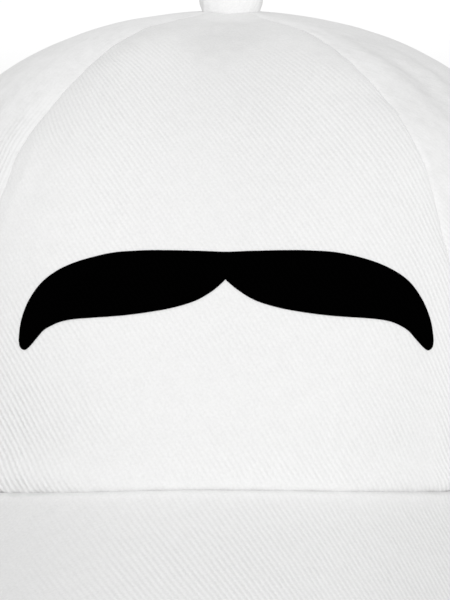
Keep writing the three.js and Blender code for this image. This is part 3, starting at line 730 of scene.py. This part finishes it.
def stitch_run(name, points, normals, material, long=2.5, gap=1.0, thick=.30):
    """Thread stitches that lie along a line on the cloth."""
    seg = np.linalg.norm(np.diff(points, axis=0), axis=-1)
    at = np.concatenate([[0], np.cumsum(seg)])
    starts = np.arange(gap / 2, at[-1] - long, long + gap)
    rows, sides = 9, 8
    s = np.linspace(-1, 1, rows)
    a = np.linspace(0, 2 * np.pi, sides, endpoint=False)
    verts, faces, cloth, bake = [], [], [], []
    take = lambda arr, q: np.stack([np.interp(q, at, arr[:, k]) for k in range(3)], -1)
    many = max(1, len(starts))
    cols = int(math.ceil(math.sqrt(many)))
    for m, q in enumerate(starts):
        centre = take(points, q + long / 2 + s * long / 2)
        n = take(normals, q + long / 2 + s * long / 2)
        n /= np.linalg.norm(n, axis=-1, keepdims=True)
        along = np.gradient(centre, axis=0)
        along /= np.linalg.norm(along, axis=-1, keepdims=True)
        side = np.cross(along, n)
        fat = thick * np.sqrt(np.maximum(0.02, 1 - s ** 4))
        lift = .10 - .28 * s ** 4
        ring = centre[:, None] + n[:, None] * (lift[:, None] + .75 * fat[:, None] * np.sin(a))[..., None] + side[:, None] * (fat[:, None] * np.cos(a))[..., None]
        base = len(verts) * rows * sides
        ids = base + np.arange(rows * sides).reshape(rows, sides)
        nxt = np.roll(ids, -1, axis=1)
        verts.append(ring.reshape(-1, 3))
        quad = np.stack([ids[:-1], ids[1:], nxt[1:], nxt[:-1]], -1).reshape(-1, 4)
        cell = np.array([m % cols, m // cols]) / cols
        sx, sy = np.meshgrid(np.linspace(.05, .9, rows), np.linspace(.05, .9, sides + 1), indexing="ij")
        grid = np.stack([sx, sy], -1) / cols + cell
        uv = np.stack([grid[:-1, :-1], grid[1:, :-1], grid[1:, 1:], grid[:-1, 1:]], -2).reshape(-1, 2)
        faces += quad.tolist()
        bake.append(uv)
        cloth.append(uv * cols * 3)
        for loop in (ids[0], ids[-1][::-1]):
            faces.append(loop.tolist())
            w = np.stack([.95 + .02 * np.cos(a), .5 + .02 * np.sin(a)], -1) / cols + cell
            bake.append(w)
            cloth.append(w)
    return make_mesh(name, rested(np.concatenate(verts)), faces, np.concatenate(cloth), np.concatenate(bake), material, 80)


# ---- materials ----------------------------------------------------------------
class Nodes:
    """Small helper to chain shader nodes."""

    def __init__(self, name):
        self.material = bpy.data.materials.new(name)
        self.material.use_nodes = True
        self.tree = self.material.node_tree
        self.shader = self.tree.nodes["Principled BSDF"]

    def node(self, kind, **values):
        made = self.tree.nodes.new(kind)
        for key, value in values.items():
            setattr(made, key, value)
        return made

    def wire(self, value, socket):
        if hasattr(value, "is_linked"):
            self.tree.links.new(value, socket)
        else:
            socket.default_value = value

    def math(self, op, *values, clamp=False):
        made = self.node("ShaderNodeMath", operation=op, use_clamp=clamp)
        for k, value in enumerate(values):
            self.wire(value, made.inputs[k])
        return made.outputs[0]

    def noise(self, vector, scale, detail=2.0, rough=.5):
        made = self.node("ShaderNodeTexNoise")
        self.wire(vector, made.inputs["Vector"])
        made.inputs["Scale"].default_value = scale
        made.inputs["Detail"].default_value = detail
        made.inputs["Roughness"].default_value = rough
        return made.outputs["Fac"]

    def scaled(self, vector, x, y, z=1.0):
        made = self.node("ShaderNodeVectorMath", operation="MULTIPLY")
        self.wire(vector, made.inputs[0])
        made.inputs[1].default_value = (x, y, z)
        return made.outputs[0]

    def range(self, value, a, b, c, d):
        made = self.node("ShaderNodeMapRange")
        self.wire(value, made.inputs["Value"])
        for key, number in zip(("From Min", "From Max", "To Min", "To Max"), (a, b, c, d)):
            made.inputs[key].default_value = number
        return made.outputs["Result"]

    def colours(self, value, stops):
        made = self.node("ShaderNodeValToRGB")
        ramp = made.color_ramp
        while len(ramp.elements) < len(stops):
            ramp.elements.new(.5)
        for element, (at, colour) in zip(ramp.elements, stops):
            element.position, element.color = at, (*colour, 1)
        self.wire(value, made.inputs[0])
        return made.outputs[0]


def weave_height(m):
    """Height of twill ribs, 0 in the grooves and 1 on the ribs, and its parts."""
    uv = m.node("ShaderNodeUVMap", uv_map="cloth").outputs[0]
    nap = m.node("ShaderNodeAttribute", attribute_name="nap").outputs["Fac"]
    split = m.node("ShaderNodeSeparateXYZ")
    m.wire(uv, split.inputs[0])
    sway = m.math("MULTIPLY", m.math("SUBTRACT", m.noise(uv, .12, 2.0), .5), .45)
    wobble = m.math("MULTIPLY", m.math("SUBTRACT", m.noise(m.scaled(uv, 1.0, .9), 2.0, 2.0), .5), .5)
    phase = m.math("ADD", m.math("ADD", split.outputs[0], sway), wobble)
    wave = m.math("SINE", m.math("MULTIPLY", phase, 2 * math.pi))
    rib = m.math("MULTIPLY_ADD", wave, .5, .5)
    slub = m.noise(m.scaled(uv, 1.6, .4), 1.0, 3.0, .6)
    patch = m.math("MULTIPLY", m.range(m.noise(uv, .055, 2.0), .32, .66, .75, 1.05), nap)
    patch = m.math("MULTIPLY", m.range(m.noise(m.scaled(uv, .6, .4), 1.0, 2.0), .3, .7, .6, 1.4), patch)
    height = m.math("MULTIPLY", m.math("ADD", rib, m.math("MULTIPLY", m.math("SUBTRACT", slub, .5), .9)), patch)
    return uv, rib, slub, patch, height


def twill_material():
    m = Nodes("white_twill")
    uv, rib, slub, patch, height = weave_height(m)
    # the grooves between the ribs are painted darker, as shade, and slubs vary the yarn's own tone
    groove_shade_and_slub = m.math("MULTIPLY_ADD", m.math("MULTIPLY", m.math("SUBTRACT", rib, .5), patch), .40,
                  m.math("ADD", .5, m.math("MULTIPLY", m.math("SUBTRACT", slub, .5), .2)))
    blotch_and_painted_shading = m.math("MULTIPLY", m.math("SUBTRACT", m.noise(uv, .03, 3.0), .5), .14)
    uneven = m.node("ShaderNodeAttribute", attribute_name="uneven").outputs["Fac"]
    cloud = m.math("MULTIPLY_ADD", m.math("SUBTRACT", m.noise(uv, .42, 3.0), .5), m.math("MULTIPLY_ADD", uneven, .35, .30), blotch_and_painted_shading)
    cloud = m.math("MULTIPLY_ADD", m.math("SUBTRACT", m.noise(uv, .24, 3.0, .65), .5), m.math("MULTIPLY", uneven, .75), cloud)
    blotch_and_painted_shading = m.math("MULTIPLY_ADD", m.math("SUBTRACT", m.noise(uv, 2.2, 2.0, .6), .5), .8, cloud)
    # painted light and shade from the mesh, added into the random blotches
    painted_shading = m.node("ShaderNodeAttribute", attribute_name="painted_shading").outputs["Fac"]
    blotch_and_painted_shading = m.math("MULTIPLY_ADD", painted_shading, 6.0, blotch_and_painted_shading)
    colour = m.colours(m.math("ADD", groove_shade_and_slub, blotch_and_painted_shading, clamp=True), [(0, (.752, .752, .750)), (.5, (.839, .839, .837)), (1, (.920, .920, .920))])
    m.wire(colour, m.shader.inputs["Base Color"])
    m.wire(m.range(slub, .3, .7, .97, .9), m.shader.inputs["Roughness"])
    m.shader.inputs["Specular IOR Level"].default_value = .15
    bump = m.node("ShaderNodeBump")
    bump.inputs["Strength"].default_value = 1.0
    bump.inputs["Distance"].default_value = .00006
    m.wire(height, bump.inputs["Height"])
    m.wire(bump.outputs[0], m.shader.inputs["Normal"])
    return m.material


def ink_material():
    m = Nodes("black_ink")
    uv, rib, slub, patch, height = weave_height(m)
    fine = m.noise(uv, 2.2, 3.0)
    colour = m.colours(m.math("MULTIPLY_ADD", m.math("SUBTRACT", rib, .5), .25, fine), [(.25, (.0001, .0001, .0001)), (.8, (.0004, .0004, .0004))])
    m.wire(colour, m.shader.inputs["Base Color"])
    m.wire(m.range(fine, .3, .7, .8, .9), m.shader.inputs["Roughness"])
    m.shader.inputs["Specular IOR Level"].default_value = .004
    bump = m.node("ShaderNodeBump")
    bump.inputs["Strength"].default_value = .6
    bump.inputs["Distance"].default_value = .00020
    m.wire(height, bump.inputs["Height"])
    m.wire(bump.outputs[0], m.shader.inputs["Normal"])
    return m.material


def thread_material():
    m = Nodes("white_thread")
    uv = m.node("ShaderNodeUVMap", uv_map="cloth").outputs[0]
    split = m.node("ShaderNodeSeparateXYZ")
    m.wire(uv, split.inputs[0])
    ply = m.math("SINE", m.math("MULTIPLY", m.math("ADD", m.math("MULTIPLY", split.outputs[0], 2.0), split.outputs[1]), 2 * math.pi))
    colour = m.colours(m.math("MULTIPLY_ADD", ply, .5, .5), [(0, (.80, .80, .798)), (1, (.9, .9, .898))])
    m.wire(colour, m.shader.inputs["Base Color"])
    m.shader.inputs["Roughness"].default_value = .7
    m.shader.inputs["Specular IOR Level"].default_value = .25
    bump = m.node("ShaderNodeBump")
    bump.inputs["Strength"].default_value = .4
    bump.inputs["Distance"].default_value = .0001
    m.wire(ply, bump.inputs["Height"])
    m.wire(bump.outputs[0], m.shader.inputs["Normal"])
    return m.material


def floor_material():
    """Pale and matt under the cap, brightening to plain white further off."""
    m = Nodes("pale_floor")
    place = m.node("ShaderNodeTexCoord").outputs["Object"]
    far = m.node("ShaderNodeVectorMath", operation="LENGTH")
    m.wire(place, far.inputs[0])
    grow = m.range(far.outputs["Value"], .22, .75, 0, 1)
    tint = m.math("MULTIPLY_ADD", m.noise(place, 40, 3.0), .02, .82)
    mix = m.node("ShaderNodeCombineColor")
    for k in range(3):
        m.wire(tint, mix.inputs[k])
    m.wire(mix.outputs[0], m.shader.inputs["Base Color"])
    m.shader.inputs["Roughness"].default_value = .9
    m.shader.inputs["Specular IOR Level"].default_value = .1
    glow = m.node("ShaderNodeEmission")
    glow.inputs["Color"].default_value = (1, 1, 1, 1)
    glow.inputs["Strength"].default_value = 1.02
    blend = m.node("ShaderNodeMixShader")
    m.wire(grow, blend.inputs[0])
    m.wire(m.shader.outputs[0], blend.inputs[1])
    m.wire(glow.outputs[0], blend.inputs[2])
    m.wire(blend.outputs[0], m.tree.nodes["Material Output"].inputs["Surface"])
    return m.material


# ---- the cap ------------------------------------------------------------------
twill, ink, thread = twill_material(), ink_material(), thread_material()
FRONT_RIBS = (59.0, 1.5)

made = []


def keep(obj, *nodes, slot="twill"):
    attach(obj, "root")
    if nodes:
        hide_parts(*nodes)
    made.append(obj)
    return obj


keep(crown_panel("front_panel_cloth", SEAM["front_left"], SEAM["front_right"], (False, False), twill, *FRONT_RIBS, pull=FRONT_PULL), "front_panel")
keep(crown_panel("side_panel_left_cloth", SEAM["back_left"], SEAM["front_left"], (False, True), twill, 88.5, 1.5, -1, start=120), "side_panel_left")
keep(crown_panel("side_panel_right_cloth", SEAM["front_right"], SEAM["back_right"], (True, False), twill, 62, 1.5), "side_panel_right")
keep(crown_panel("back_panel_right_cloth", SEAM["back_right"], 180, (True, False), twill, 60, 1.5, 1, "last"), "back_panel_right")
keep(crown_panel("back_panel_left_cloth", -180, SEAM["back_left"], (True, True), twill, 60, 1.5, -1, "first"), "back_panel_left")
keep(peak_piece("peak_cloth", twill), "peak")
keep(button_piece("top_button_cloth", twill), "top_button")
keep(strap_piece("closure_strap_cloth", twill), "closure_strap")
keep(print_piece("moustache_ink", ink, *FRONT_RIBS, FRONT_PULL), "moustache_print", slot="print")


def hem_line(az, up, low):
    p, n = smooth_crown(az, up), crown_normal(az, up)
    far = np.full_like(az, 60.0)
    return p + n * crown_relief(az, up, low, far, far, False, False)[..., None], n


for side, title in ((1, "right"), (-1, "left")):
    # along the hem from behind the peak's corner to the opening, then up round it
    az = np.linspace(70, 180 - ARCH_HALF_AZ - 4.5, 160)
    around = np.linspace(0, np.pi / 2, 60)
    az = np.concatenate([az, 180 - (ARCH_HALF_AZ + 4.0) * np.cos(around)])
    up = np.concatenate([np.full(160, 6.5 / ARC), 6.5 / ARC + (ARCH_UP + .004) * np.sin(around)])
    low = np.concatenate([np.zeros(160), arch_edge(az[160:] * DEG)])
    line, normal = hem_line(side * az * DEG, up, np.minimum(low, up - .02))
    keep(stitch_run("hem_stitches_" + title, line[::side], normal[::side], thread))

# rows of stitches along the strap's two edges
for t, title in ((.16, "low"), (.84, "high")):
    az = np.linspace(180 - STRAP["half_az"] + 1, 180 + STRAP["half_az"] - 1, 120) * DEG
    up = np.full_like(az, STRAP["low"] + (STRAP["high"] - STRAP["low"]) * t)
    n = crown_normal(az, up)
    keep(stitch_run("strap_stitches_" + title, smooth_crown(az, up) - n * (WALL + GAP + .1), n, thread))

# ---- floor, light and camera ---------------------------------------------------
bpy.ops.mesh.primitive_circle_add(vertices=96, radius=14, fill_type="NGON", location=(0, 0, -.0002))
floor = bpy.context.object
floor.name = "floor"
floor.data.materials.append(floor_material())

scene = bpy.context.scene
world = bpy.data.worlds.new("studio")
scene.world = world
world.use_nodes = True
world.node_tree.nodes["Background"].inputs["Color"].default_value = (1, 1, 1, 1)
world.node_tree.nodes["Background"].inputs["Strength"].default_value = .77
scene.view_settings.view_transform = "Standard"
scene.view_settings.look = "None"


def soft_box(name, place, aim, size, power):
    light = bpy.data.lights.new(name, "AREA")
    light.shape, light.size, light.energy = "DISK", size, power
    obj = bpy.data.objects.new(name, light)
    obj.location = place
    obj.rotation_mode = "QUATERNION"
    obj.rotation_quaternion = (Vector(aim) - Vector(place)).to_track_quat("-Z", "Y")
    obj.visible_camera = False
    scene.collection.objects.link(obj)


def soft_box_at(name, az, el, power, size=.9, far=2.4):
    c = math.cos(el * DEG)
    place = Vector((math.sin(az * DEG) * c, -math.cos(az * DEG) * c, math.sin(el * DEG))) * far + Vector((0, 0, .06))
    soft_box(name, place, (0, 0, .06), size, power)


soft_box_at("front_light", 0, 10, 10.0)
soft_box_at("right_light", 35, 10, 6.3)
soft_box_at("left_light", -70, 45, 4.0)

# the camera stands where the photo's stood, seen from the level rim
CAMERA_DISTANCE, CAMERA_LENS = 1150.0, 4936.6 / 600 * 36
CAMERA_TILT = 5.796 * DEG
aim = np.array([-1.005, -95.0, 51.76])
toward = np.array([0, math.cos(CAMERA_TILT), -math.sin(CAMERA_TILT)])
eye = aim - toward * CAMERA_DISTANCE
aim_at, eye_at = (Vector(rested(q)) for q in (aim, eye))
lens = bpy.data.cameras.new("camera")
lens.lens, lens.sensor_width, lens.sensor_fit = CAMERA_LENS, 36, "AUTO"
lens.clip_start, lens.clip_end = .05, 60
camera = bpy.data.objects.new("camera", lens)
camera.location = eye_at
camera.rotation_mode = "QUATERNION"
camera.rotation_quaternion = (aim_at - eye_at).to_track_quat("-Z", "Y")
scene.collection.objects.link(camera)
scene.camera = camera

bpy.context.view_layer.update()
